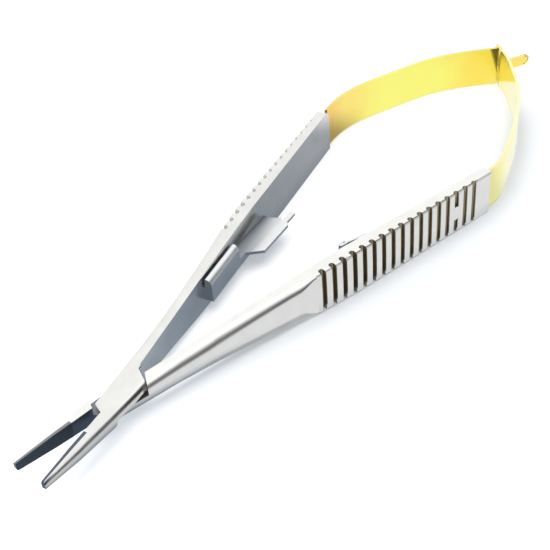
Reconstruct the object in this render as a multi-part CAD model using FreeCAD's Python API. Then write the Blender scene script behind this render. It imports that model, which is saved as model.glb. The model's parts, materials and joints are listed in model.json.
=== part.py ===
import FreeCAD, Part
import math
import os

from FreeCAD import Rotation, Vector

# A locking needle holder of the squeeze type: two steel arms cross in a half-lap joint,
# two gold leaf springs hold the handles apart, and a latch inside the handles can keep them shut.
# Millimetres and degrees. Each arm is drawn shut, with the pivot axis at the origin, the jaws
# towards -X and the handle towards +X, and is then swung open about the pivot.
# The lower arm is the upper arm turned half a turn about X, as the real forgings are.

# Overall reach of one arm, measured from the pivot axis
jaw_length = 19.8
handle_reach = 78.6
open_half_angle = 8.0

# Half width of the shut instrument at stations along it
tip_half_width = 0.75
jaw_half_width = 1.85
joint_half_width = 2.68
neck_half_width = 3.42
shank_half_width = 4.97
grip_half_width = 6.75
end_half_width = 9.0

# Half height at the same stations
tip_half_height = 0.76
jaw_half_height = 1.38
joint_half_height = 1.78
neck_half_height = 2.5
shank_half_height = 3.7
handle_half_height = 4.5

# Where those stations lie
jaw_station = -11.0
neck_station = 12.0
shank_station = 29.0
grip_station = 45.0
loft_stations = 10

# How the outer side is rounded: crown is the angle that the side leans at its edges
front_crown = 38.0
neck_crown = 22.0
grip_crown = 1.2
front_corner_radius = 0.2
neck_corner_radius = 1.25
shank_corner_radius = 1.0
grip_bevel = 0.34
tip_corner_radius = 0.35
handle_end_side_radius = 1.6
handle_end_plan_radius = 0.9

# The half-lap joint
front_wall_reach = 5.6
front_wall_lean = 32.0
shoulder_gap = 0.15
shoulder_lean = 21.0
throat_reach = 4.45
throat_lean = 35.0
block_lean = 30.0
block_gap = 0.12
throat_half_gap = 0.23
lap_clearance = 0.04

# The inner face of the handle, when shut, opens away from the centre line by this angle
inner_face_angle = 5.05

# Jaw inserts
insert_length = 10.15
insert_tip_thickness = 0.4
insert_rear_thickness = 0.62
closed_face_gap = 0.03
jaw_face_relief = 0.05

# Pivot screw, put in from below
screw_radius = 1.1
screw_head_radius = 1.75
screw_head_depth = 0.65
screw_bite = 1.15
screw_slot_width = 0.4
screw_slot_depth = 0.3
thread_clearance = 0.01
running_clearance = 0.03

# Grip grooves across the outer side of each handle, the last one set back from its end
groove_count = 17
last_groove_setback = 4.82
groove_pitch = 2.235
groove_width = 1.0
groove_web = 1.66
groove_bevel = 0.28

# Leaf springs
spring_thickness = 0.6
spring_half_height = 4.15
spring_reach = 40.0
junction_offset = 2.13
spring_root_length = 12.0
spring_root_half_height = 3.3
spring_shoulder_gap = 0.3
pocket_wall = 0.45
pocket_clearance = 0.03
tongue_half_height = 1.15
tongue_slot_clearance = 0.3
spring_lip = 1.7
junction_gap = 0.12
rivet_radius = 1.45
rivet_bite = 0.25
rear_groove_count = 2
rivet_clearance = 0.01

# Lock plate on the upper handle, set back from the handle's end
lock_setback = 29.2
lock_block_length = 10.2
paddle_length = 13.4
lock_block_width = 1.6
lock_block_top = 2.9
lock_block_bottom = -1.7
lock_block_round = 1.1
lock_gap_width = 0.3
lock_gap_floor = 1.05
lock_gap_round = 0.15
paddle_past_centre = 1.3
paddle_thickness = 0.6
paddle_top = -0.05
paddle_neck = 1.9
paddle_ramp = 2.1
paddle_corner = 0.6
paddle_flat = 2.3
scoop_radius = 3.2
scoop_rise = 1.0
paddle_skew = 3.4
finger_length = 2.3
finger_width = 0.95
lock_rivet_radius = 0.9
lock_rivet_wall = 0.4
lock_rivet_inset = 2.8

# Catch leaf on the lower handle, its pad just in front of the spring's pocket
catch_pocket_gap = 0.8
catch_pad_length = 5.6
catch_thickness = 0.45
catch_bottom = 0.3
catch_top = 2.05
catch_reach = 12.8
catch_stand_off = 3.0
claw_length = 1.1
claw_width = 0.9
claw_overhang = 0.1
claw_slit_depth = 0.5
catch_rivet_radius = 0.55
catch_rivet_bite = 0.9

# Length of one step when a strip is laid along its course
ribbon_step = 4.5

# Bow of the catch leaf, from its pad forward: share of its reach, share of its stand-off
catch_bow = [(0.0, 0.0), (0.27, 0.26), (0.52, 0.62), (0.8, 0.87), (1.0, 1.0)]

# Courses of the two leaf springs, from the handle's end to where they meet:
# share of the way along, and share of the way in towards the meeting line
upper_course = [(0.1, -0.04), (0.225, -0.03), (0.374, 0.069), (0.535, 0.217), (0.758, 0.475), (0.921, 0.81)]
lower_course = [(0.09, -0.022), (0.2, 0.035), (0.343, 0.127), (0.541, 0.287), (0.764, 0.554), (0.89, 0.76)]
tongue_course = [(1.85, -1.83), (3.9, -2.93), (5.85, -3.75)]

# How far cutting shapes run past what they cut: sideways, and at ends
beyond = 12.0
margin = 1.0
loft_slack = 0.02
slope = math.tan(math.radians(inner_face_angle))

# Places of the lock and the catch along the arms
paddle_rear = handle_reach - lock_setback
lock_block_rear = paddle_rear - paddle_length
lock_front = lock_block_rear - lock_block_length
catch_pad_rear = handle_reach - spring_root_length - catch_pocket_gap
catch_pad_front = catch_pad_rear - catch_pad_length


def inner_face(s):
    """Distance of the handle's inner face from the centre line, shut, at s along the arm."""
    return throat_half_gap + slope * (s - throat_reach)


def smooth(knots, s):
    """A smooth curve through (place, value) knots that never overshoots them."""
    spans = [(b[0] - a[0], (b[1] - a[1]) / (b[0] - a[0])) for a, b in zip(knots, knots[1:])]
    tangents = [spans[0][1]]
    for (h0, d0), (h1, d1) in zip(spans, spans[1:]):
        flat = d0 * d1 <= 0
        w0, w1 = 2 * h1 + h0, h1 + 2 * h0
        tangents.append(0.0 if flat else (w0 + w1) / (w0 / d0 + w1 / d1))
    tangents.append(spans[-1][1])
    for i, (h, d) in enumerate(spans):
        if s <= knots[i + 1][0] or i == len(spans) - 1:
            t = (s - knots[i][0]) / h
            a, b = knots[i][1], knots[i + 1][1]
            rise = t * t * (3 - 2 * t)
            start = h * tangents[i] * t * (1 - t) ** 2
            finish = h * tangents[i + 1] * t * t * (t - 1)
            return a + (b - a) * rise + start + finish


def half_width(s):
    return smooth(
        [
            (-jaw_length, tip_half_width),
            (jaw_station, jaw_half_width),
            (0, joint_half_width),
            (neck_station, neck_half_width),
            (shank_station, shank_half_width),
            (grip_station, grip_half_width),
            (handle_reach, end_half_width),
        ],
        s,
    )


def half_height(s):
    return smooth(
        [
            (-jaw_length, tip_half_height),
            (jaw_station, jaw_half_height),
            (0, joint_half_height),
            (neck_station, neck_half_height),
            (shank_station, shank_half_height),
            (grip_station, handle_half_height),
            (handle_reach, handle_half_height),
        ],
        s,
    )


def crown(s):
    return smooth(
        [
            (-jaw_length, front_crown),
            (0, front_crown),
            (neck_station, neck_crown),
            (groove_places()[0], grip_crown),
            (handle_reach, grip_crown),
        ],
        s,
    )


def corner_radius(s):
    return smooth(
        [
            (-jaw_length, front_corner_radius),
            (0, front_corner_radius),
            (neck_station, neck_corner_radius),
            (shank_station, shank_corner_radius),
            (grip_station, grip_bevel),
            (handle_reach, grip_bevel),
        ],
        s,
    )


def section(s):
    """Outline of the shut instrument across X at s: flat top and bottom, crowned sides.

    The corners are round along the jaws and the shank, and bevelled along the grip.
    """
    h, r, lean = half_height(s) + loft_slack, corner_radius(s), math.radians(crown(s))
    z_edge = h - r + r * math.sin(lean)
    side_radius = z_edge / math.sin(lean)
    y_edge = half_width(s) - side_radius * (1 - math.cos(lean))
    y_flat = y_edge - r * math.cos(lean)
    half_lean = (math.pi / 2 + lean) / 2
    y_mid = y_flat + r * math.cos(half_lean)
    z_mid = h - r + r * math.sin(half_lean)

    def at(y, z):
        return Vector(s, y, z)

    def corner(start, middle, end):
        if s < grip_station:
            return Part.Arc(start, middle, end).toShape()
        return Part.makeLine(start, end)

    edges = [Part.makeLine(at(-y_flat, h), at(y_flat, h))]
    edges.append(corner(at(y_flat, h), at(y_mid, z_mid), at(y_edge, z_edge)))
    edges.append(Part.Arc(at(y_edge, z_edge), at(half_width(s), 0), at(y_edge, -z_edge)).toShape())
    edges.append(corner(at(y_edge, -z_edge), at(y_mid, -z_mid), at(y_flat, -h)))
    edges.append(Part.makeLine(at(y_flat, -h), at(-y_flat, -h)))
    edges.append(corner(at(-y_flat, -h), at(-y_mid, -z_mid), at(-y_edge, -z_edge)))
    edges.append(Part.Arc(at(-y_edge, -z_edge), at(-half_width(s), 0), at(-y_edge, z_edge)).toShape())
    edges.append(corner(at(-y_edge, z_edge), at(-y_mid, z_mid), at(-y_flat, h)))
    return Part.Wire(edges)


def shut_body():
    """Both arms as one smooth body, before the joint and the space between the handles are cut."""
    step = (grip_station + jaw_length) / (loft_stations - 1)
    stations = [i * step - jaw_length for i in range(loft_stations)] + [handle_reach]
    body = Part.makeLoft([section(s) for s in stations], True, True)
    slab = Part.makeBox(
        2 * handle_reach, 4 * end_half_width, 2 * handle_half_height,
        Vector(-handle_reach, -2 * end_half_width, -handle_half_height),
    )
    return body.common(slab)


def prism(points, low, high):
    """A straight-sided plan outline raised from z = low to z = high."""
    corners = [Vector(x, y, low) for x, y in points]
    face = Part.Face(Part.makePolygon(corners + corners[:1]))
    return face.extrude(Vector(0, 0, high - low))


def arc_between(start, middle, end):
    return Part.Arc(Vector(*start), Vector(*middle), Vector(*end)).toShape()


def side_mask():
    """What the arm keeps in side view: round jaw tip, and one round corner at the handle's end."""
    tip, end = -jaw_length, handle_reach
    r, h = tip_corner_radius, tip_half_height
    k = r * (1 - math.sqrt(0.5))
    top, big = handle_half_height, handle_end_side_radius
    m = big * (1 - math.sqrt(0.5))
    edges = [Part.makeLine(Vector(tip, 0, r - h), Vector(tip, 0, h - r))]
    edges.append(arc_between((tip, 0, h - r), (tip + k, 0, h - k), (tip + r, 0, h)))
    edges.append(Part.makeLine(Vector(tip + r, 0, h), Vector(tip + r + h, 0, 3 * h)))
    edges.append(Part.makeLine(Vector(tip + r + h, 0, 3 * h), Vector(neck_station, 0, top)))
    edges.append(Part.makeLine(Vector(neck_station, 0, top), Vector(end - big, 0, top)))
    edges.append(arc_between((end - big, 0, top), (end - m, 0, top - m), (end, 0, top - big)))
    edges.append(Part.makeLine(Vector(end, 0, top - big), Vector(end, 0, -top)))
    edges.append(Part.makeLine(Vector(end, 0, -top), Vector(neck_station, 0, -top)))
    edges.append(Part.makeLine(Vector(neck_station, 0, -top), Vector(tip + r + h, 0, -3 * h)))
    edges.append(Part.makeLine(Vector(tip + r + h, 0, -3 * h), Vector(tip + r, 0, -h)))
    edges.append(arc_between((tip + r, 0, -h), (tip + k, 0, k - h), (tip, 0, r - h)))
    face = Part.Face(Part.Wire(edges))
    face.translate(Vector(0, -beyond, 0))
    return face.extrude(Vector(0, 2 * beyond, 0))


def insert_seat():
    """Plan points of the steel face behind the jaw insert, from the tip to the insert's rear end."""
    rear = insert_length - jaw_length
    growth = (insert_rear_thickness - insert_tip_thickness) / insert_length
    return [(-jaw_length - margin, growth * margin - insert_tip_thickness), (rear, -insert_rear_thickness)]


def jaw_face_points():
    """Plan points of the upper jaw's inner face, from the tip to the joint."""
    rear = insert_length - jaw_length
    return insert_seat() + [(rear, -jaw_face_relief), (-front_wall_reach, -jaw_face_relief)]


def upper_level():
    """Plan of the upper half of the upper arm: jaw, joint pad and handle in one run."""
    front = math.tan(math.radians(front_wall_lean))
    throat = math.tan(math.radians(throat_lean))
    points = jaw_face_points()
    points.append((-front_wall_reach + front * beyond, beyond))
    points.append((handle_reach + margin, beyond))
    points.append((handle_reach + margin, inner_face(handle_reach + margin)))
    points.append((throat_reach, throat_half_gap))
    points.append((throat_reach - throat * beyond, throat_half_gap - beyond))
    points.append((-jaw_length - margin, -beyond))
    return points


def jaw_block():
    """Plan of the jaw below the lap face, ending in the shoulder."""
    lean = math.tan(math.radians(shoulder_lean))
    shoulder = -front_wall_reach - shoulder_gap
    points = insert_seat()
    points.append((insert_length - jaw_length, -jaw_face_relief))
    points.append((shoulder, -jaw_face_relief))
    points.append((shoulder + lean * beyond, -beyond))
    points.append((-jaw_length - margin, -beyond))
    return points


def handle_block():
    """Plan of the handle below the lap face, starting at the wall that meets the other arm's pad."""
    lean = math.tan(math.radians(block_lean))
    throat = math.tan(math.radians(throat_lean))
    wall = throat_reach - 2 * throat_half_gap * throat + block_gap
    return [
        (wall, inner_face(wall)),
        (handle_reach + margin, inner_face(handle_reach + margin)),
        (handle_reach + margin, beyond),
        (wall - lean * (beyond - throat_half_gap), beyond),
    ]


def groove_cutter(s):
    """A groove across the handle's outer side, with a flat floor and bevelled lower corners."""
    floor = inner_face(s) + groove_web
    side, bevel = groove_width / 2, groove_bevel
    tall = handle_half_height + margin
    outline = [(s - side, floor + bevel), (s - side + bevel, floor), (s + side - bevel, floor)]
    outline += [(s + side, floor + bevel), (s + side, floor + beyond), (s - side, floor + beyond)]
    return prism(outline, -tall, tall)


def groove_places():
    last = handle_reach - last_groove_setback
    return [last - i * groove_pitch for i in reversed(range(groove_count))]


def along_face(shape, s):
    """Turns a shape drawn on the X axis to lie along the handle's inner face at s."""
    shape.rotate(Vector(0, 0, 0), Vector(0, 0, 1), inner_face_angle)
    shape.translate(Vector(s, inner_face(s), 0))
    return shape


def pocket():
    """The blind pocket in the handle's end that takes the root of the leaf spring."""
    gap = pocket_clearance
    length = spring_root_length + gap + margin
    box = Part.makeBox(
        length, spring_thickness + 2 * gap, 2 * (spring_root_half_height + gap),
        Vector(margin - length, pocket_wall, -spring_root_half_height - gap),
    )
    return along_face(box, handle_reach)


def rivet_place():
    """Where the spring's rivet stands: in the middle of one of the last grooves."""
    return groove_places()[-1 - rear_groove_count]


def spring_rivet(slack):
    """A plain rivet from the grip through the spring's root, or its hole when slack is above 0."""
    start = Vector(0, pocket_wall - rivet_bite - slack, 0)
    return along_face(Part.makeCylinder(rivet_radius + slack, beyond, start, Vector(0, 1, 0)), rivet_place())


def arm_blank(body):
    """One arm without the holes that differ from arm to arm, drawn as the upper arm, shut."""
    tall = handle_half_height + margin
    middle = lap_clearance / 2
    arm = prism(upper_level(), middle, tall)
    arm = arm.fuse(prism(jaw_block(), -tall, middle))
    arm = arm.fuse(prism(handle_block(), -tall, middle))
    arm = body.common(arm).common(side_mask())
    r = handle_end_plan_radius
    round_middle = Vector(handle_reach - r, end_half_width - r, -tall)
    corner = Part.makeBox(2 * r, 2 * r, 2 * tall, round_middle)
    corner = corner.cut(Part.makeCylinder(r, 2 * tall, round_middle))
    cutters = [groove_cutter(s) for s in groove_places()]
    cutters += [corner, pocket(), spring_rivet(rivet_clearance)]
    return arm.cut(Part.makeCompound(cutters))


def jaw_insert(body):
    """The hard plate on the inner face of the upper jaw, drawn shut."""
    rear = insert_length - jaw_length
    face = -closed_face_gap / 2
    outline = insert_seat() + [(rear, face), (-jaw_length - margin, face)]
    plate = prism(outline, -handle_half_height, handle_half_height)
    return body.common(plate).common(side_mask())


def half_turn(shape):
    """The upper arm's parts become the lower arm's parts by half a turn about X."""
    turned = shape.copy()
    turned.rotate(Vector(0, 0, 0), Vector(1, 0, 0), 180)
    return turned


def pivot_screw(slack, thread_slack):
    """The screw with its conical head below, or its hole when the slacks are above 0."""
    head_face = -half_height(-screw_head_radius)
    bottom = Vector(0, 0, head_face)
    wide, narrow = screw_head_radius + slack, screw_radius + slack
    reach = Part.makeCylinder(narrow, -head_face, bottom)
    bite = Part.makeCylinder(screw_radius + thread_slack, screw_bite + thread_slack)
    screw = reach.fuse(bite).fuse(Part.makeCone(wide, narrow, screw_head_depth, bottom))
    if slack:
        drop = Part.makeCylinder(wide, margin, Vector(0, 0, head_face - margin))
        return screw.fuse(drop)
    slot = Part.makeBox(
        4 * screw_head_radius, screw_slot_width, 2 * screw_slot_depth,
        Vector(-2 * screw_head_radius, -screw_slot_width / 2, head_face - screw_slot_depth),
    )
    return screw.cut(slot)


def swing(shape, angle):
    """Swings a shut part open about the pivot."""
    opened = shape.copy()
    opened.rotate(Vector(0, 0, 0), Vector(0, 0, 1), angle)
    return opened


def offset_curve(points, distance):
    """The course shifted sideways by distance, as points."""
    shifted = []
    for i, p in enumerate(points):
        ahead = points[min(i + 1, len(points) - 1)]
        behind = points[max(i - 1, 0)]
        along = ahead.sub(behind).normalize()
        shifted.append(p.add(Vector(-along.y, along.x, 0).multiply(distance)))
    return shifted


def course(points, start_direction):
    """A smooth plan curve through points, leaving the first in the given direction."""
    curve = Part.BSplineCurve()
    last = points[-1].sub(points[-2]).normalize()
    curve.interpolate(Points=points, InitialTangent=start_direction, FinalTangent=last)
    return curve


def ribbon(curve, thickness, low, high):
    """A strip of even thickness along a plan curve, from z = low to z = high."""
    steps = 3 + math.ceil(curve.length() / ribbon_step)
    span = curve.LastParameter - curve.FirstParameter
    points = [curve.value(curve.FirstParameter + span * i / steps) for i in range(steps + 1)]
    left = Part.BSplineCurve()
    left.interpolate(offset_curve(points, thickness / 2))
    right = Part.BSplineCurve()
    right.interpolate(offset_curve(points, -thickness / 2))
    start = Part.makeLine(right.StartPoint, left.StartPoint)
    end = Part.makeLine(left.EndPoint, right.EndPoint)
    bottom = Part.Wire([left.toShape(), end, right.toShape(), start])
    top = bottom.copy()
    bottom.translate(Vector(0, 0, low))
    top.translate(Vector(0, 0, high))
    return Part.makeLoft([bottom, top], True, True)


def spring_start():
    """The middle of the spring, swung open, just outside the upper handle's end."""
    away = pocket_wall + pocket_clearance + spring_thickness / 2
    x = handle_reach + spring_shoulder_gap
    point = Vector(x, inner_face(handle_reach), 0)
    direction = Rotation(Vector(0, 0, 1), inner_face_angle).multVec(Vector(0, 1, 0))
    point = point.add(direction.multiply(away))
    return Rotation(Vector(0, 0, 1), open_half_angle).multVec(point)


def spring_course(shares, side):
    """Course of one leaf spring, open: side is 1 for the upper arm's and -1 for the lower arm's."""
    start = spring_start()
    meeting = Vector(start.x + spring_reach, junction_offset, 0)
    drop = start.y - side * junction_offset
    points = [Vector(start.x, side * start.y, 0)]
    for u, v in shares:
        points.append(Vector(start.x + u * spring_reach, side * (start.y - v * drop), 0))
    return points, meeting


def root_strip(side):
    """The narrow root of a leaf spring, in its pocket, swung open with its handle."""
    length = spring_root_length + spring_shoulder_gap
    box = Part.makeBox(
        length + spring_thickness / 2, spring_thickness, 2 * spring_root_half_height,
        Vector(-spring_root_length, pocket_wall + pocket_clearance, -spring_root_half_height),
    )
    root = along_face(box, handle_reach).cut(spring_rivet(rivet_clearance))
    if side < 0:
        root = half_turn(root)
    return swing(root, side * open_half_angle)


def tongue_nose(before, end):
    """What is cut away to round the end of the tongue, which runs from before to end."""
    r = tongue_half_height
    wide = 4 * spring_thickness
    block = Part.makeBox(2 * r, wide, 4 * r, Vector(0, -wide / 2, -2 * r))
    nose = Part.makeCylinder(r, wide, Vector(0, -wide / 2, 0), Vector(0, 1, 0))
    corners = block.cut(nose)
    corners.translate(Vector(-r, 0, 0))
    run = end.sub(before)
    corners.rotate(Vector(0, 0, 0), Vector(0, 0, 1), math.degrees(math.atan2(run.y, run.x)))
    corners.translate(end)
    return corners


def leaf_spring(side):
    """One gold leaf spring. The upper one ends in a tongue, and the lower one has a slot for it."""
    shares = upper_course if side > 0 else lower_course
    points, meeting = spring_course(shares, side)
    handle_angle = side * (open_half_angle + inner_face_angle)
    leaving = Rotation(Vector(0, 0, 1), handle_angle).multVec(Vector(1, 0, 0))
    low, high = -spring_half_height, spring_half_height
    inward = meeting.sub(points[-1]).normalize()
    if side > 0:
        stop = meeting.sub(Vector(inward).multiply(spring_thickness / 2 + junction_gap))
        curve = course(points + [stop], leaving)
        blade = ribbon(curve, spring_thickness, low, high)
        tail = [stop, meeting] + [meeting.add(Vector(x, y, 0)) for x, y in tongue_course]
        tongue = ribbon(course(tail, inward), spring_thickness, -tongue_half_height, tongue_half_height)
        blade = blade.fuse(tongue.cut(tongue_nose(tail[-2], tail[-1])))
    else:
        gap = tongue_slot_clearance
        wide = spring_thickness + 2 * gap
        stop = meeting.sub(Vector(inward).multiply(wide))
        blade = ribbon(course(points + [stop], leaving), spring_thickness, low, high)
        corner = Vector(-wide, -spring_thickness / 2, low)
        lip = Part.makeBox(wide + spring_lip, spring_thickness, high - low, corner)
        across = 2 * spring_thickness
        slot = Part.makeBox(
            wide, 2 * across, 2 * (tongue_half_height + gap),
            Vector(-wide / 2, -across, -tongue_half_height - gap),
        )
        lip = lip.cut(slot)
        lip.rotate(Vector(0, 0, 0), Vector(0, 0, 1), math.degrees(math.atan2(inward.y, inward.x)))
        lip.translate(meeting)
        blade = blade.fuse(lip)
    return blade.fuse(root_strip(side)).removeSplitter()


def lock_block():
    """The half-round bar of the lock plate. A narrow gap parts its top from the arm's face."""
    low, h, r, small = lock_block_bottom, lock_block_top, lock_block_round, lock_gap_round
    k, m = r * (1 - math.sqrt(0.5)), small * (1 - math.sqrt(0.5))
    side, gap, floor = -lock_block_width, -lock_gap_width, lock_gap_floor

    def at(y, z):
        return Vector(0, y, z)

    edges = [Part.makeLine(at(side, low), at(side, h - r))]
    edges.append(Part.Arc(at(side, h - r), at(side + k, h - k), at(side + r, h)).toShape())
    edges.append(Part.makeLine(at(side + r, h), at(gap - small, h)))
    edges.append(Part.Arc(at(gap - small, h), at(gap - m, h - m), at(gap, h - small)).toShape())
    edges.append(Part.makeLine(at(gap, h - small), at(gap, floor)))
    edges.append(Part.makeLine(at(gap, floor), at(0, floor)))
    edges.append(Part.makeLine(at(0, floor), at(0, low)))
    edges.append(Part.makeLine(at(0, low), at(side, low)))
    bar = Part.Face(Part.Wire(edges)).extrude(Vector(lock_block_length, 0, 0))
    return along_face(bar, lock_front)


def scoop():
    """What is cut away above the paddle: flat towards the centre line, hollow towards the arm."""
    r, flat = scoop_radius, paddle_flat - paddle_past_centre
    k = r * (1 - math.sqrt(0.5))
    front, floor, high = lock_block_rear - margin, paddle_top, beyond

    def at(y, z):
        return Vector(front, y, z)

    edges = [Part.makeLine(at(-beyond, floor), at(flat, floor))]
    edges.append(Part.Arc(at(flat, floor), at(flat + r - k, floor + k), at(flat + r, floor + r)).toShape())
    edges.append(Part.makeLine(at(flat + r, floor + r), at(flat + r, high)))
    edges.append(Part.makeLine(at(flat + r, high), at(-beyond, high)))
    edges.append(Part.makeLine(at(-beyond, high), at(-beyond, floor)))
    return Part.Face(Part.Wire(edges)).extrude(Vector(paddle_length + 2 * beyond, 0, 0))


def lock_plate():
    """Block, paddle and hook finger of the lock, in one piece, on the upper handle's inner face."""
    deep = inner_face(paddle_rear) + margin
    tip = -paddle_past_centre
    side = inner_face(lock_block_rear) - lock_block_width
    start = lock_block_rear - margin
    neck = lock_block_rear + paddle_neck
    finger = paddle_rear + finger_length
    inset = tip + paddle_corner
    outline = [(start, deep), (start, side), (neck, side), (neck + paddle_ramp, tip)]
    outline += [(paddle_rear - 2 * paddle_corner, tip), (paddle_rear - paddle_corner, inset)]
    outline += [(finger, inset), (finger, inset + finger_width)]
    outline += [(paddle_rear - paddle_corner, inset + finger_width)]
    outline += [(paddle_rear, inset + finger_width + paddle_corner)]
    outline += [(paddle_rear, paddle_flat - paddle_past_centre), (paddle_rear - paddle_skew, deep)]
    paddle = prism(outline, paddle_top - paddle_thickness, paddle_top + scoop_rise).cut(scoop())
    ahead, behind = lock_front - margin, paddle_rear + beyond
    inner_side = [(ahead, inner_face(ahead)), (ahead, -beyond)]
    inner_side += [(behind, -beyond), (behind, inner_face(behind))]
    tall = lock_block_top + margin
    return lock_block().fuse(paddle.common(prism(inner_side, -tall, tall))).removeSplitter()


def lock_rivet_places():
    return [lock_front + lock_rivet_inset, lock_block_rear - lock_rivet_inset]


def lock_rivet(s, slack):
    """A flush rivet from the arm's outer side into the lock plate's block, or its hole."""
    start = Vector(0, lock_rivet_wall - lock_block_width - slack, 0)
    return along_face(Part.makeCylinder(lock_rivet_radius + slack, beyond, start, Vector(0, 1, 0)), s)


def catch_course():
    """Course of the catch leaf, from its pad forward, beside an inner face that lies along X."""
    away = catch_thickness / 2
    rise = catch_stand_off - away
    return [Vector(-u * catch_reach, -away - v * rise, 0) for u, v in catch_bow]


def catch_leaf():
    """The thin catch leaf: a flat pad on the arm's face, and a bowed blade that runs forward."""
    forward = Vector(-1, 0, 0)
    blade = ribbon(course(catch_course(), forward), catch_thickness, -catch_top, -catch_bottom)
    length = (catch_pad_rear - catch_pad_front) / math.cos(math.radians(inner_face_angle))
    corner = Vector(0, -catch_thickness, -catch_top)
    pad = Part.makeBox(length, catch_thickness, catch_top - catch_bottom, corner)
    leaf = along_face(blade.fuse(pad), catch_pad_front)
    holes = [catch_rivet(s, thread_clearance) for s in catch_rivet_places()]
    return leaf.cut(Part.makeCompound(holes)).removeSplitter()


def catch_rivet_places():
    quarter = (catch_pad_rear - catch_pad_front) / 4
    return [catch_pad_front + quarter, catch_pad_rear - quarter]


def catch_rivet(s, slack):
    """A small flush rivet through the catch leaf's pad, or its hole."""
    middle = -(catch_top + catch_bottom) / 2
    long = catch_thickness + catch_rivet_bite + 2 * slack
    start = Vector(0, -catch_thickness - slack, middle)
    return along_face(Part.makeCylinder(catch_rivet_radius + slack, long, start, Vector(0, 1, 0)), s)


def catch_claw():
    """The small claw that grips the catch leaf's front end."""
    end = catch_course()[-1]
    low = -catch_top - claw_overhang
    high = -catch_bottom + claw_overhang
    front = end.x - claw_length + claw_slit_depth
    body = Part.makeBox(claw_length, claw_width, high - low, Vector(front, end.y - claw_width / 2, low))
    nose = Part.makeCylinder(claw_width / 2, high - low, Vector(front, end.y, low))
    wide = catch_thickness + 2 * thread_clearance
    forward = Vector(-1, 0, 0)
    blade = ribbon(course(catch_course(), forward), wide, low - margin, high + margin)
    tip = Part.makeBox(
        2 * thread_clearance, wide, high - low + 2 * margin,
        Vector(end.x - 2 * thread_clearance, end.y - wide / 2, low - margin),
    )
    claw = body.fuse(nose).cut(blade).cut(tip).removeSplitter()
    return along_face(claw, catch_pad_front)


def build():
    """Every piece, open, with the pivot axis through the origin."""
    body = shut_body()
    blank = arm_blank(body)
    insert = jaw_insert(body)
    up, down = open_half_angle, -open_half_angle
    lock_holes = [lock_rivet(s, thread_clearance) for s in lock_rivet_places()]
    upper_holes = Part.makeCompound([pivot_screw(running_clearance, thread_clearance)] + lock_holes)
    catch_holes = [half_turn(catch_rivet(s, thread_clearance)) for s in catch_rivet_places()]
    lower_holes = Part.makeCompound([pivot_screw(running_clearance, thread_clearance)] + catch_holes)
    plate = lock_plate().cut(Part.makeCompound(lock_holes))
    rivet = spring_rivet(0).common(body)

    pieces = {
        "upper_arm": swing(blank.cut(upper_holes), up),
        "lower_arm": swing(half_turn(blank).cut(lower_holes), down),
        "upper_jaw_insert": swing(insert, up),
        "lower_jaw_insert": swing(half_turn(insert), down),
        "pivot_screw": pivot_screw(0, 0),
        "upper_leaf_spring": leaf_spring(1),
        "lower_leaf_spring": leaf_spring(-1),
        "upper_spring_rivet": swing(rivet, up),
        "lower_spring_rivet": swing(half_turn(rivet), down),
        "lock_plate": swing(plate, up),
        "catch_leaf": swing(half_turn(catch_leaf()), down),
        "catch_claw": swing(half_turn(catch_claw()), down),
    }
    for name, s in zip(("lock_front_rivet", "lock_rear_rivet"), lock_rivet_places()):
        pieces[name] = swing(lock_rivet(s, 0).common(body), up)
    for name, s in zip(("catch_front_rivet", "catch_rear_rivet"), catch_rivet_places()):
        pieces[name] = swing(half_turn(catch_rivet(s, 0)), down)
    return pieces


def main():
    """Moves the origin to the middle of the base and writes one STEP file for each piece."""
    start = spring_start()
    rear = start.x + spring_reach + tongue_course[-1][0]
    front = -jaw_length * math.cos(math.radians(open_half_angle))
    shift = Vector(-(front + rear) / 2, 0, handle_half_height)
    os.makedirs("parts", exist_ok=True)
    for name, shape in build().items():
        shape.translate(shift)
        solid = shape.Solids[0] if len(shape.Solids) == 1 else shape
        solid.exportStep("parts/" + name + ".step")
        box = solid.BoundBox
        print(name, len(shape.Solids), "solid", round(solid.Volume, 2), "mm3", box)


main()
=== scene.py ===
import json
import math

import bpy
from mathutils import Matrix, Vector


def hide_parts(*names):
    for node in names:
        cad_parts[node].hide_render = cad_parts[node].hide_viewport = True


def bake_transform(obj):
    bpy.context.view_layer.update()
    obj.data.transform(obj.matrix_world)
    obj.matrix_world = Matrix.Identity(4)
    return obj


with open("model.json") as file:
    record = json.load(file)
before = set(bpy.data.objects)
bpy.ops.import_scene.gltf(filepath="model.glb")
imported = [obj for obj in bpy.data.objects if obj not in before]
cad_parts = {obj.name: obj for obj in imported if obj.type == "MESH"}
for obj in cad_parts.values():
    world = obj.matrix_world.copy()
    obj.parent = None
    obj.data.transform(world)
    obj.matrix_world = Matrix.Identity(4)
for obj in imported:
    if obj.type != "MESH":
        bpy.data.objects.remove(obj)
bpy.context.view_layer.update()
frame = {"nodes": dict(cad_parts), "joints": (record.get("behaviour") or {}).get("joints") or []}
nodes = frame["nodes"]

MM = 0.001
hinges = {joint["name"]: Vector(joint["pos_m"]) for joint in frame["joints"]}

# The arms. Places are measured from the pivot, along the shut arm, and the pairs are a place and the
# half height or half width there.
PIVOT = hinges["jaw_pivot"]
OPEN_ANGLE = math.radians(8.0)
HANDLE_TOP = 4.5 * MM
HALF_HEIGHTS = (
    (-19.8 * MM, 0.76 * MM),
    (-11.0 * MM, 1.38 * MM),
    (0.0, 1.78 * MM),
    (12.0 * MM, 2.5 * MM),
    (29.0 * MM, 3.7 * MM),
    (45.0 * MM, HANDLE_TOP),
)
HALF_WIDTHS = ((29.0 * MM, 4.97 * MM), (45.0 * MM, 6.75 * MM), (78.6 * MM, 9.0 * MM))
FACE_ANGLE = math.radians(5.05)
FACE_START = -0.163 * MM
PAD_REACH = 5.2 * MM
CORNER, GRIP_CORNER = 2.7 * MM, 0.6 * MM

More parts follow.
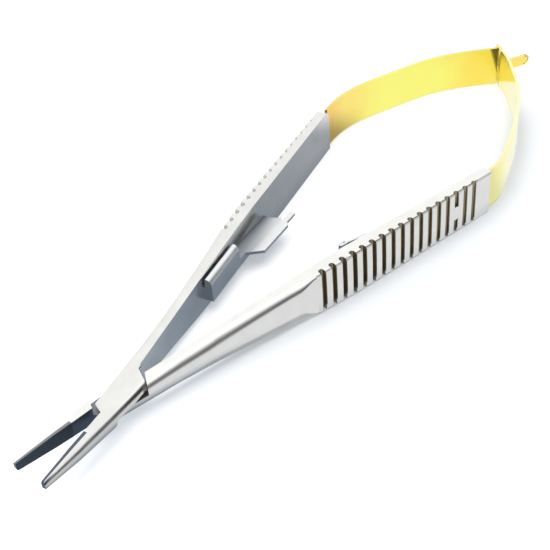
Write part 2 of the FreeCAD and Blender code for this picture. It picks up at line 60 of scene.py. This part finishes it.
# The grip, the jaw and the inserts.
GRIP_START, GRIP_REAR = 36.6 * MM, 74.8 * MM
GRIP_RAMP = 33.0 * MM
GROOVE_WEB = 1.3 * MM
BEVEL_FLAT, BEVEL_RISE = 0.5, 0.87
JAW_FACE = -0.7 * MM
HATCH_PITCH = 0.34 * MM
HATCH_RUN, HATCH_LEAN = 0.78, 0.62
FINE_GRAIN = 9000.0
EDGE_BLUR = 0.1 * MM

# The lock, the catch and the springs.
PADDLE_TOP = 1.4 * MM
HANDLE_END = Vector((26.0, 18.5, 4.5)) * MM
SPRINGS_MEET = 66.5 * MM

# The stage.
TABLE_SIZE, TABLE_DROP = 8.0, 0.02 * MM


def add_camera():
    """A long lens above the jaws' right, as the object was photographed."""
    target = Vector((-16.11, -1.481, 4.5)) * MM
    turn, tilt, roll = 0.7329, 0.7067, -0.0867
    distance = 191.36 * MM
    forward = Vector((math.cos(turn) * math.cos(tilt), math.sin(turn) * math.cos(tilt), -math.sin(tilt)))
    level = Vector((math.sin(turn), -math.cos(turn), 0.0))
    rise = level.cross(forward)
    right = math.cos(roll) * level + math.sin(roll) * rise
    up = -math.sin(roll) * level + math.cos(roll) * rise
    data = bpy.data.cameras.new("photo_camera")
    data.sensor_width = 36.0
    data.lens = 72.843
    data.clip_start, data.clip_end = 0.005, 10.0
    camera = bpy.data.objects.new("photo_camera", data)
    bpy.context.collection.objects.link(camera)
    place = Matrix((right, up, -forward)).transposed().to_4x4()
    place.translation = target - forward * distance
    camera.matrix_world = place
    bpy.context.scene.camera = camera


class Maker:
    """A short way to add and wire shader nodes."""

    def __init__(self, tree):
        self.tree = tree

    def node(self, kind, inputs=None, **settings):
        made = self.tree.nodes.new(kind)
        for name, value in settings.items():
            setattr(made, name, value)
        for name, value in (inputs or {}).items():
            self.put(made.inputs[name], value)
        return made

    def put(self, socket, value):
        """Links value to the socket where it is a socket too, and else sets it."""
        if isinstance(value, bpy.types.NodeSocket):
            self.tree.links.new(value, socket)
        else:
            socket.default_value = value

    def math(self, operation, a, b=0.0):
        return self.node("ShaderNodeMath", {0: a, 1: b}, operation=operation).outputs[0]

    def both(self, *masks):
        """Where all the masks hold."""
        joined = masks[0]
        for mask in masks[1:]:
            joined = self.math("MULTIPLY", joined, mask)
        return joined

    def ramp(self, factor, stops, interpolation="LINEAR"):
        made = self.node("ShaderNodeValToRGB", {"Fac": factor})
        band = made.color_ramp
        band.interpolation = interpolation
        while len(band.elements) < len(stops):
            band.elements.new(0.5)
        for element, (place, color) in zip(band.elements, stops):
            element.position = place
            element.color = (*color, 1.0)
        return made.outputs["Color"]

    def spread(self, value, low, high, to_low=0.0, to_high=1.0, smooth=True):
        """Goes from to_low to to_high while value goes from low to high."""
        kind = "SMOOTHSTEP" if smooth else "LINEAR"
        inputs = {"Value": value, "From Min": low, "From Max": high, "To Min": to_low, "To Max": to_high}
        return self.node("ShaderNodeMapRange", inputs, interpolation_type=kind).outputs["Result"]

    def profile(self, value, knots):
        """The height at value of a run of straight lines through knots."""
        first, last = knots[0][0], knots[-1][0]
        top = max(height for _, height in knots)
        stops = [((place - first) / (last - first), (height / top,) * 3) for place, height in knots]
        share = self.ramp(self.spread(value, first, last, smooth=False), stops)
        return self.math("MULTIPLY", share, top)

    def mix(self, kind, sockets, values):
        """A Mix node. Its sockets of one kind are known only by their numbers."""
        made = self.node("ShaderNodeMix", data_type=kind)
        factor, first, second, out = sockets
        for socket, value in zip((factor, first, second), values):
            self.put(made.inputs[socket], value)
        return made.outputs[out]

    def blend(self, factor, a, b):
        """Colour a where factor is 0, and colour b where it is 1."""
        tones = [tone if isinstance(tone, bpy.types.NodeSocket) else (*tone, 1.0) for tone in (a, b)]
        return self.mix("RGBA", (0, 6, 7, 2), (factor, *tones))

    def blend_vector(self, factor, a, b):
        return self.mix("VECTOR", (0, 4, 5, 1), (factor, a, b))

    def lean(self, level, flat, rise):
        """A level vector made flat times as long, and raised by rise."""
        short = self.node("ShaderNodeVectorMath", {0: level, "Scale": flat}, operation="SCALE").outputs[0]
        return self.vector("ADD", short, self.node("ShaderNodeCombineXYZ", {"Z": rise}).outputs[0])

    def place(self):
        return self.node("ShaderNodeTexCoord").outputs["Object"]

    def facing(self):
        """The surface normal, and its parts along X, Y and Z."""
        normal = self.node("ShaderNodeNewGeometry").outputs["Normal"]
        return normal, self.node("ShaderNodeSeparateXYZ", {0: normal}).outputs

    def vector(self, operation, a, b):
        return self.node("ShaderNodeVectorMath", {0: a, 1: b}, operation=operation).outputs[0]

    def noise(self, where, scale, detail=3.0):
        inputs = {"Vector": where, "Scale": scale, "Detail": detail}
        return self.node("ShaderNodeTexNoise", inputs).outputs["Fac"]

    def bump(self, height, strength, distance, normal=None):
        inputs = {"Height": height, "Strength": strength, "Distance": distance}
        if normal:
            inputs["Normal"] = normal
        return self.node("ShaderNodeBump", inputs).outputs["Normal"]

    def group(self, tree, **inputs):
        return self.node("ShaderNodeGroup", inputs, node_tree=tree).outputs


def new_group(name, inputs, outputs):
    """A shader node group with number inputs, and outputs given as {name: kind}."""
    tree = bpy.data.node_groups.new(name, "ShaderNodeTree")
    for socket in inputs:
        tree.interface.new_socket(socket, in_out="INPUT", socket_type="NodeSocketFloat")
    for socket, kind in outputs.items():
        tree.interface.new_socket(socket, in_out="OUTPUT", socket_type="NodeSocket" + kind)
    maker = Maker(tree)
    return tree, maker, maker.node("NodeGroupInput").outputs, maker.node("NodeGroupOutput").inputs


def arm_place_group():
    """Place along the shut arm from the pivot, outward across it, up, and past its inner face.

    Side is 1 for the upper arm and -1 for the lower arm.
    """
    outputs = {"Along": "Float", "Across": "Float", "Up": "Float", "Depth": "Float"}
    tree, maker, given, out = new_group("arm place", ("Side",), outputs)
    moved = maker.vector("SUBTRACT", maker.place(), PIVOT)
    turn = {"Vector": moved, "Angle": maker.math("MULTIPLY", given["Side"], -OPEN_ANGLE)}
    turned = maker.node("ShaderNodeVectorRotate", turn, rotation_type="Z_AXIS").outputs[0]
    along, y, up = maker.node("ShaderNodeSeparateXYZ", {0: turned}).outputs
    across = maker.math("MULTIPLY", y, given["Side"])
    face = maker.math("ADD", maker.math("MULTIPLY", along, math.tan(FACE_ANGLE)), FACE_START)
    maker.put(out["Along"], along)
    maker.put(out["Across"], across)
    maker.put(out["Up"], up)
    maker.put(out["Depth"], maker.math("SUBTRACT", across, face))
    return tree


def grain_group():
    """Slow clouds and a fine grain."""
    tree, maker, given, out = new_group("metal grain", ("Cloud Scale",), {"Cloud": "Float", "Fine": "Float"})
    where = maker.place()
    maker.put(out["Cloud"], maker.noise(where, given["Cloud Scale"]))
    maker.put(out["Fine"], maker.noise(where, FINE_GRAIN, 2.0))
    return tree


def grip_bevel(maker, along):
    """The sloping edges of the grip."""
    slope = maker.math("ABSOLUTE", maker.facing()[1]["Z"])
    steep = maker.both(maker.math("GREATER_THAN", slope, 0.5), maker.math("LESS_THAN", slope, 0.85))
    return maker.both(steep, maker.math("GREATER_THAN", along, GRIP_START))


def soft_corner_group():
    """The normal of a corner on an arm's outer side that is a little wider than the solid's."""
    tree, maker, given, out = new_group("soft corner", ("Along", "Up", "Side"), {"Normal": "Vector"})
    along, up, side = given["Along"], given["Up"], given["Side"]
    tall = maker.profile(along, HALF_HEIGHTS)
    corner = maker.spread(along, GRIP_RAMP, GRIP_START, CORNER, GRIP_CORNER)
    radius = maker.math("MINIMUM", tall, corner)
    depth = maker.math("SUBTRACT", tall, maker.math("ABSOLUTE", up))
    share = maker.node("ShaderNodeClamp", {0: maker.math("DIVIDE", depth, radius)}).outputs[0]
    rise = maker.math("SUBTRACT", 1.0, share)
    flat = maker.math("SQRT", maker.math("SUBTRACT", 1.0, maker.math("MULTIPLY", rise, rise)))
    true, parts = maker.facing()
    level = maker.vector("NORMALIZE", maker.vector("MULTIPLY", true, (1.0, 1.0, 0.0)), (0.0, 0.0, 0.0))
    way = maker.math("SIGN", up)
    soft = maker.lean(level, flat, maker.math("MULTIPLY", rise, way))
    raised = maker.lean(level, BEVEL_FLAT, maker.math("MULTIPLY", way, BEVEL_RISE))
    outward = maker.both(parts["Y"], side)
    handle = maker.both(outward, maker.math("GREATER_THAN", along, -PAD_REACH))
    jaw = maker.both(outward, maker.math("LESS_THAN", along, PAD_REACH), -1.0)
    use = maker.spread(maker.math("MAXIMUM", handle, jaw), 0.1, 0.3)
    use = maker.both(use, maker.math("LESS_THAN", along, GRIP_START))
    normal = maker.blend_vector(use, true, soft)
    maker.put(out["Normal"], maker.blend_vector(grip_bevel(maker, along), normal, raised))
    return tree


def arm_masks_group():
    """Where an arm's grip grooves, its jaw's closed face, its lap faces and its grip's bevels are."""
    inputs = ("Along", "Across", "Up", "Depth", "Rim")
    outputs = {"Groove": "Float", "Jaw Face": "Float", "Lap": "Float", "Bevel": "Float"}
    tree, maker, given, out = new_group("arm masks", inputs, outputs)
    along, across, up = given["Along"], given["Across"], given["Up"]
    slope = maker.math("ABSOLUTE", maker.facing()[1]["Z"])
    upright = maker.math("LESS_THAN", slope, 0.75)
    level = maker.math("SUBTRACT", 1.0, upright)
    outer = maker.profile(along, HALF_WIDTHS)
    sunk = maker.spread(maker.math("SUBTRACT", outer, across), 0.15 * MM, 0.3 * MM)
    sunk = maker.both(sunk, maker.spread(given["Depth"], GROOVE_WEB - EDGE_BLUR, GROOVE_WEB + EDGE_BLUR))
    rim = maker.spread(up, HANDLE_TOP, HANDLE_TOP - 1.5 * MM)
    rim = maker.math("MAXIMUM", rim, given["Rim"])
    grip = maker.math("GREATER_THAN", along, GRIP_START)
    grip = maker.both(grip, maker.math("LESS_THAN", along, GRIP_REAR))
    maker.put(out["Groove"], maker.both(sunk, rim, grip, upright))
    jaw = maker.both(maker.math("LESS_THAN", along, -PAD_REACH), upright)
    closed = maker.spread(across, JAW_FACE - EDGE_BLUR, JAW_FACE + EDGE_BLUR)
    maker.put(out["Jaw Face"], maker.both(jaw, closed))
    maker.put(out["Lap"], maker.both(level, maker.spread(maker.math("ABSOLUTE", up), 0.3 * MM, EDGE_BLUR)))
    maker.put(out["Bevel"], grip_bevel(maker, along))
    return tree


def hatch_group():
    """The fine cross-hatch on a jaw insert's closed face."""
    inputs, outputs = ("Along", "Across", "Up"), {"Hatch": "Float", "Face": "Float"}
    tree, maker, given, out = new_group("cross hatch", inputs, outputs)
    pitch = math.pi / HATCH_PITCH
    waves = []
    for lean in (HATCH_LEAN, -HATCH_LEAN):
        level = maker.math("MULTIPLY", given["Along"], pitch * HATCH_RUN)
        run = maker.math("ADD", level, maker.math("MULTIPLY", given["Up"], pitch * lean))
        waves.append(maker.math("ABSOLUTE", maker.math("SINE", run)))
    maker.put(out["Hatch"], maker.math("MINIMUM", waves[0], waves[1]))
    maker.put(out["Face"], maker.math("LESS_THAN", maker.math("ABSOLUTE", given["Across"]), EDGE_BLUR))
    return tree


def new_material(name):
    """An empty material with its maker and its output node."""
    material = bpy.data.materials.new(name)
    material.use_nodes = True
    tree = material.node_tree
    tree.nodes.clear()
    output = tree.nodes.new("ShaderNodeOutputMaterial")
    return material, Maker(tree), output


def metal(name, build):
    """A metal made by build(maker), which gives the Principled shader's inputs."""
    material, maker, output = new_material(name)
    inputs = build(maker)
    shader = maker.node("ShaderNodeBsdfPrincipled", {"Metallic": 1.0, **inputs})
    maker.put(output.inputs["Surface"], shader.outputs[0])
    return material


def arm_steel(side, tone, rim):
    """Satin steel of one arm, with painted shade in its grooves, on its jaw's closed face,
    in the lap and at the foot of its grip's lands.

    Rim is how much of the grooves' painted shade stays at the top.
    """
    dull, clean = (tone, tone + 0.005, tone), (tone + 0.07, tone + 0.07, tone + 0.06)
    land_foot_shade = (0.5, 0.52, 0.56)
    groove_shade_top, groove_shade_foot = (0.33, 0.28, 0.185), (0.15, 0.13, 0.10)
    jaw_face_shade = (0.13, 0.16, 0.20)
    lap_shade_front, lap_shade_rear = (0.2, 0.22, 0.25), (0.08, 0.066, 0.046)

    def build(maker):
        along, across, up, depth = maker.group(ARM_PLACE, Side=side)
        soft = maker.group(SOFT_CORNER, Along=along, Up=up, Side=side)["Normal"]
        masks = maker.group(ARM_MASKS, Along=along, Across=across, Up=up, Depth=depth, Rim=rim)
        cloud, fine = maker.group(GRAIN, **{"Cloud Scale": 300.0})
        foot = maker.spread(up, -1.0 * MM, -HANDLE_TOP)
        # Painted shade: the grip's lands turn grey-blue towards their foot.
        land_shade_share = maker.both(foot, maker.math("GREATER_THAN", along, GRIP_START), 0.4)
        # Painted shade in the grip grooves, darker towards their foot.
        groove = maker.blend(foot, groove_shade_top, groove_shade_foot)
        # Painted shade and reflection in the lap between the arms: blue-grey in front, brown-black behind.
        lap = maker.blend(maker.spread(along, -2.0 * MM, 2.0 * MM), lap_shade_front, lap_shade_rear)
        base = maker.ramp(cloud, [(0.3, dull), (0.7, clean)])
        base = maker.blend(land_shade_share, base, land_foot_shade)
        base = maker.blend(masks["Groove"], base, groove)
        # Painted shade on the jaw's closed face, between the jaws.
        base = maker.blend(masks["Jaw Face"], base, jaw_face_shade)
        base = maker.blend(masks["Lap"], base, lap)
        rough = maker.spread(cloud, 0.2, 0.8, 0.2, 0.27)
        rough = maker.math("ADD", rough, maker.math("MULTIPLY", masks["Groove"], 0.25))
        rough = maker.math("ADD", rough, maker.spread(along, 0.0, -8.0 * MM, 0.0, 0.12))
        rough = maker.math("MAXIMUM", rough, maker.math("MULTIPLY", masks["Bevel"], 0.6))
        return {"Base Color": base, "Roughness": rough, "Normal": maker.bump(fine, 0.06, 0.02 * MM, soft)}

    return metal("arm_steel_upper" if side > 0 else "arm_steel_lower", build)


def smooth_steel(name, smooth, tone=0.73, shade=None, dark=(0.20, 0.225, 0.26)):
    """Smooth steel, a little cloudy, with a roughness of smooth and a bit more.

    shade(maker) says where painted shade makes it darker.
    """
    dull, clean = (tone, tone + 0.025, tone + 0.055), (tone + 0.08, tone + 0.095, tone + 0.115)

    def build(maker):
        cloud, fine = maker.group(GRAIN, **{"Cloud Scale": 500.0})
        base = maker.ramp(cloud, [(0.3, dull), (0.7, clean)])
        if shade:
            base = maker.blend(shade(maker), base, dark)
        rough = maker.spread(cloud, 0.2, 0.8, smooth, smooth + 0.06)
        return {"Base Color": base, "Roughness": rough, "Normal": maker.bump(fine, 0.05, 0.02 * MM)}

    return metal(name, build)


def polished_steel():
    """The pivot screw and the catch's rivets."""
    return smooth_steel("polished_steel", 0.16)


def satin_lock_steel():
    """The lock plate, with painted shade in the hollow of its paddle by the arm and on its block's front and
    inner side.
    """

    def shade(maker):
        place = maker.group(ARM_PLACE, Side=1)
        parts = maker.facing()[1]
        near = maker.spread(place["Depth"], -4.0 * MM, -0.8 * MM, 0.0, 0.9)
        upward = maker.math("GREATER_THAN", parts["Z"], 0.2)
        hollow = maker.both(near, upward, maker.math("LESS_THAN", place["Up"], PADDLE_TOP))
        front = maker.spread(parts["X"], -0.4, -0.8, 0.0, 0.7)
        inner = maker.spread(parts["Y"], -0.6, -0.95, 0.0, 0.25)
        return maker.math("MAXIMUM", hollow, maker.math("MAXIMUM", front, inner))

    return smooth_steel("satin_lock_steel", 0.38, 0.88, shade)


def catch_leaf_steel():
    """The catch leaf, with painted shade on the side that faces its own arm, in the gap between them."""

    def shade(maker):
        return maker.spread(maker.facing()[1]["Y"], -0.2, -0.5, 0.0, 0.95)

    return smooth_steel("catch_leaf_steel", 0.16, shade=shade, dark=(0.05, 0.065, 0.085))


def catch_claw_steel():
    """The claw, with painted shade on its upright sides."""

    def shade(maker):
        return maker.spread(maker.math("ABSOLUTE", maker.facing()[1]["Z"]), 0.8, 0.5, 0.0, 0.95)

    return smooth_steel("catch_claw_steel", 0.2, shade=shade, dark=(0.20, 0.25, 0.33))


def carbide(side, edge):
    """Dark insert with a fine cross-hatch on its closed face and a paler edge."""
    valley, crest = (0.025, 0.033, 0.046), (0.14, 0.175, 0.215)

    def build(maker):
        along, across, up, _ = maker.group(ARM_PLACE, Side=side)
        hatch, face = maker.group(CROSS_HATCH, Along=along, Across=across, Up=up)
        cut = maker.both(maker.spread(hatch, 0.0, 0.45), face)
        base = maker.blend(face, edge, maker.ramp(hatch, [(0.0, valley), (0.8, crest)]))
        return {"Base Color": base, "Roughness": 0.36, "Normal": maker.bump(cut, 0.6, 0.06 * MM)}

    return metal("carbide_upper" if side > 0 else "carbide_lower", build)


def gold_film(name, stops):
    """Gold-toned film on polished spring steel, with stops of tone from the handle to the junction: the gold
    is the film's own, the changes of tone along it are painted sheen and reflection.
    """

    def build(maker):
        cloud, fine = maker.group(GRAIN, **{"Cloud Scale": 220.0})
        along = maker.node("ShaderNodeSeparateXYZ", {0: maker.place()}).outputs["X"]
        along = maker.spread(along, HANDLE_END.x, SPRINGS_MEET, smooth=False)
        shifted = maker.math("ADD", along, maker.spread(cloud, 0, 1, -0.03, 0.03))
        base = maker.ramp(shifted, stops, "EASE")
        rough = maker.spread(cloud, 0.2, 0.8, 0.17, 0.24)
        return {"Base Color": base, "Roughness": rough, "Normal": maker.bump(fine, 0.04, 0.02 * MM)}

    return metal(name, build)


def upper_gold():
    """Orange gold at the handle, lemon in the middle and amber at the junction, where the amber is a painted
    reflection of the lower spring.
    """
    return gold_film("gold_upper", [
        (0.0, (0.92, 0.62, 0.15)),
        (0.18, (0.97, 0.80, 0.21)),
        (0.45, (0.95, 0.95, 0.23)),
        (0.7, (0.96, 0.93, 0.21)),
        (0.9, (0.98, 0.80, 0.13)),
        (1.0, (0.97, 0.79, 0.20)),
    ])


def lower_gold():
    """A paler gold, palest in the middle, where the paleness is a painted sheen."""
    return gold_film("gold_lower", [
        (0.0, (0.93, 0.90, 0.40)),
        (0.45, (0.96, 0.95, 0.62)),
        (0.85, (0.97, 0.94, 0.50)),
        (0.96, (0.98, 0.93, 0.36)),
        (1.0, (0.98, 0.91, 0.30)),
    ])


def bending_leaf(node, name, material):
    """A smooth-shaded copy, in place of its hidden solid, of a thin leaf that bends between two bodies."""
    source = nodes[node]
    leaf = bpy.data.objects.new(name, source.data.copy())
    bpy.context.collection.objects.link(leaf)
    leaf.matrix_world = source.matrix_world
    bpy.ops.object.select_all(action="DESELECT")
    bpy.context.view_layer.objects.active = leaf
    leaf.select_set(True)
    bpy.ops.object.mode_set(mode="EDIT")
    bpy.ops.mesh.select_all(action="SELECT")
    bpy.ops.mesh.remove_doubles(threshold=0.001 * MM)
    bpy.ops.object.mode_set(mode="OBJECT")
    bpy.ops.object.shade_smooth_by_angle(angle=math.radians(30))
    leaf.data.materials.clear()
    leaf.data.materials.append(material)
    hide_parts(node)
    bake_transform(leaf)


def dress():
    """Gives every solid its finish, and puts smooth-shaded copies over the springs and the catch leaf, whose
    solids it hides.
    """
    # Both arms are the same steel; the upper arm's darker tone is painted shade.
    upper, lower = arm_steel(1, 0.76, 0.15), arm_steel(-1, 0.85, 0.85)
    polished = polished_steel()
    finish = {
        "upper_arm": upper,
        "lower_arm": lower,
        # The upper insert's edge is darker than the lower's: painted shade on the same carbide.
        "upper_jaw_insert": carbide(1, (0.11, 0.14, 0.18)),
        "lower_jaw_insert": carbide(-1, (0.26, 0.27, 0.285)),
        "pivot_screw": polished,
        "upper_spring_rivet": upper,
        "lower_spring_rivet": lower,
        "lock_plate": satin_lock_steel(),
        "lock_front_rivet": upper,
        "lock_rear_rivet": upper,
        "catch_claw": catch_claw_steel(),
        "catch_front_rivet": polished,
        "catch_rear_rivet": polished,
    }
    for node, material in finish.items():
        data = nodes[node].data
        data.materials.clear()
        data.materials.append(material)
    bending_leaf(
        "upper_leaf_spring", "upper_spring_leaf", upper_gold(),
    )
    bending_leaf(
        "lower_leaf_spring", "lower_spring_leaf", lower_gold(),
    )
    bending_leaf(
        "catch_leaf", "catch_bow", catch_leaf_steel(),
    )


def mirrored_table(maker):
    """Painted reflection: the glow the table shows only to the metal's reflections, lighting the metal's
    sides; it is dim between the handles and by the jaws, as painted shade.
    """
    where = maker.node("ShaderNodeSeparateXYZ", {0: maker.place()}).outputs
    between = maker.ramp(maker.spread(where["X"], -60.0 * MM, 30.0 * MM, smooth=False), [
        (0.0, (0.20, 0.245, 0.30)),
        (0.25, (0.31, 0.36, 0.425)),
        (0.45, (0.20, 0.245, 0.30)),
        (0.7, (0.30, 0.33, 0.37)),
        (0.95, (0.40, 0.42, 0.455)),
    ])
    outside = maker.ramp(maker.spread(where["X"], -70.0 * MM, -30.0 * MM, smooth=False), [
        (0.0, (0.70, 0.71, 0.72)),
        (0.35, (0.74, 0.75, 0.75)),
        (0.6, (0.80, 0.805, 0.80)),
        (1.0, (0.82, 0.825, 0.82)),
    ])
    behind_handles = (1.02, 1.0, 0.98)
    inner_side = maker.spread(where["Y"], -12.0 * MM, 2.0 * MM)
    upper_slant = 0.232
    past_upper = maker.math("SUBTRACT", where["Y"], maker.math("MULTIPLY", where["X"], upper_slant))
    inner_side = maker.both(inner_side, maker.spread(past_upper, 18.0 * MM, 14.0 * MM))
    tone = maker.blend(inner_side, outside, between)
    return maker.blend(maker.spread(where["X"], 29.5 * MM, 40.0 * MM), tone, behind_handles)


def add_table():
    """A white table top that keeps the instrument's shadow. Its painted glow grows far off, by the jaws and
    between the handles, and pales the shadow there; to reflections it shows the painted reflection of
    mirrored_table.
    """
    bpy.ops.object.select_all(action="DESELECT")
    bpy.ops.mesh.primitive_plane_add(size=TABLE_SIZE, location=(0, 0, -TABLE_DROP))
    table = bpy.context.object
    table.name = "table_top"
    material, maker, output = new_material("white_table")
    ray = maker.node("ShaderNodeLightPath")
    matt = maker.node("ShaderNodeBsdfDiffuse", {"Color": (0.80, 0.80, 0.80, 1.0)})
    away = maker.node("ShaderNodeVectorMath", {0: maker.place()}, operation="LENGTH").outputs["Value"]
    # Painted light: the table's glow, stronger far off, by the jaws and between the handles.
    painted_glow = maker.spread(away, 80.0 * MM, 250.0 * MM, 0.04, 0.9)
    where = maker.node("ShaderNodeSeparateXYZ", {0: maker.place()}).outputs
    painted_glow = maker.math("ADD", painted_glow, maker.spread(where["X"], -30.0 * MM, -60.0 * MM, 0.0, 0.08))
    painted_glow = maker.math("ADD", painted_glow, maker.spread(where["Y"], -12.0 * MM, 2.0 * MM, 0.0, 0.25))
    glow = maker.node("ShaderNodeEmission", {"Color": (1, 1, 1, 1), "Strength": painted_glow})
    seen = maker.node("ShaderNodeAddShader", {0: matt.outputs[0], 1: glow.outputs[0]})
    tone = maker.node("ShaderNodeEmission", {"Color": mirrored_table(maker), "Strength": 1.0})
    mixed = {0: ray.outputs["Is Glossy Ray"], 1: seen.outputs[0], 2: tone.outputs[0]}
    maker.put(output.inputs["Surface"], maker.node("ShaderNodeMixShader", mixed).outputs[0])
    table.data.materials.append(material)


def toward(maker, look, direction):
    """How nearly a look points in one direction: 1 is straight at it."""
    straight = {0: look, 1: Vector(direction).normalized()}
    return maker.node("ShaderNodeVectorMath", straight, operation="DOT_PRODUCT").outputs["Value"]


def add_light():
    """White all round, as in a light tent, with dark openings at the camera and at its right."""
    world = bpy.data.worlds.new("light_tent")
    bpy.context.scene.world = world
    world.use_nodes = True
    tree = world.node_tree
    tree.nodes.clear()
    maker = Maker(tree)
    output = tree.nodes.new("ShaderNodeOutputWorld")
    look = maker.node("ShaderNodeTexCoord").outputs["Generated"]
    behind = toward(maker, look, (0.565, 0.509, 0.649))
    tent = maker.blend(maker.spread(behind, 0.3, 0.9), (0.88, 0.89, 0.91), (1.07, 1.06, 1.035))
    above = toward(maker, look, (0.0, 0.0, 1.0))
    tent = maker.blend(maker.spread(above, 0.72, 0.86), tent, (1.25, 1.24, 1.22))
    right = toward(maker, look, (0.565, -0.73, 0.39))
    tent = maker.blend(maker.spread(right, 0.855, 0.94), tent, (0.025, 0.026, 0.028))
    camera = toward(maker, look, (-0.565, -0.509, 0.649))
    tent = maker.blend(maker.spread(camera, 0.5, 0.8), tent, (0.13, 0.12, 0.11))
    blue_shade, white = (0.58, 0.66, 0.77), (1.0, 1.0, 1.0)
    ray = maker.node("ShaderNodeLightPath")
    plain = maker.blend(ray.outputs["Is Camera Ray"], blue_shade, white)
    color = maker.blend(ray.outputs["Is Glossy Ray"], plain, tent)
    background = maker.node("ShaderNodeBackground", {"Color": color, "Strength": 1.0})
    maker.put(output.inputs["Surface"], background.outputs[0])

    data = bpy.data.lights.new("soft_box", "AREA")
    data.shape = "RECTANGLE"
    data.size = data.size_y = 0.42
    data.energy = 1.75
    data.color = (1.0, 0.96, 0.91)
    box = bpy.data.objects.new("soft_box", data)
    bpy.context.collection.objects.link(box)
    box.location = Vector((-50.0, -40.0, 430.0)) * MM
    box.visible_glossy = False


ARM_PLACE = arm_place_group()
GRAIN = grain_group()
SOFT_CORNER = soft_corner_group()
ARM_MASKS = arm_masks_group()
CROSS_HATCH = hatch_group()

add_camera()
dress()
add_table()
add_light()
bpy.context.scene.view_settings.view_transform = "Standard"
